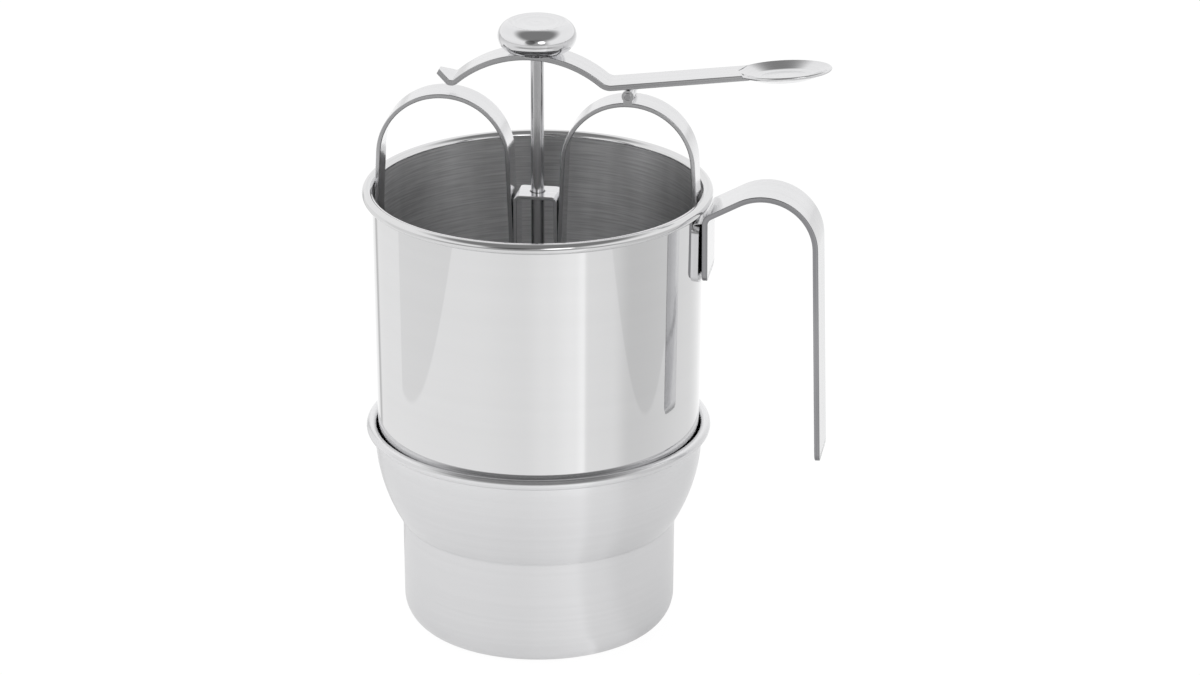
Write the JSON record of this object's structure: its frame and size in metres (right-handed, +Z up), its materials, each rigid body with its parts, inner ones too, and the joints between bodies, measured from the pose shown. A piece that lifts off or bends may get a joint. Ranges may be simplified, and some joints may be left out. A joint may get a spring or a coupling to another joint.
{
  "type": "pancake batter dispenser",
  "caption": "Pancake batter dispenser: a vessel with a funnel bottom and a plug valve lifted by a thumb lever, standing in a cup that catches drips.",
  "frame": {"origin": "centre of the stand's foot, on the surface it stands on", "axes": "+Z up along the axis of the vessel, +X towards the handle and the thumb rest"},
  "size_m": [0.1692, 0.127, 0.2311],
  "materials": {
    "satin_steel": "satin sheet steel",
    "polished_steel": "polished stainless sheet, brushed inside",
    "strap_steel": "polished strap steel",
    "turned_steel": "turned and polished steel"
  },
  "bodies": {
    "stand": {"stand_cup": "satin_steel"},
    "vessel": {"vessel_shell": "polished_steel", "vessel_cone": "polished_steel", "outlet_spout": "turned_steel", "handle_pad": "strap_steel", "handle_strap": "strap_steel", "left_bow": "strap_steel", "right_bow": "strap_steel", "guide_bridge": "strap_steel", "bow_knuckles": "turned_steel", "pivot_pin": "turned_steel"},
    "lever": {"lever_strap": "strap_steel", "lever_knuckle": "turned_steel", "thumb_rest": "polished_steel"},
    "valve": {"valve_rod": "turned_steel", "valve_plug": "turned_steel"},
    "knob": {"knob": "turned_steel"}
  },
  "joints": [
    {"name": "vessel_lift", "type": "slide", "parent": "stand", "child": "vessel", "axis": [0, 0, 1], "range_m": [0, 0.08]},
    {"name": "lever_pivot", "type": "hinge", "parent": "vessel", "child": "lever", "pos_m": [0.03367, 0, 0.20645], "axis": [0, 1, 0], "range_deg": [0, 15]},
    {"name": "valve_lift", "type": "slide", "parent": "vessel", "child": "valve", "axis": [0, 0, 1], "range_m": [0, 0.0102]},
    {"name": "knob_turn", "type": "hinge", "parent": "valve", "child": "knob", "pos_m": [0, 0, 0.2205], "axis": [0, 0, 1], "continuous": true}
  ],
  "couplings": [
    {"joint": "valve_lift", "follows": "lever_pivot", "m_per_rad": 0.03853}
  ]
}
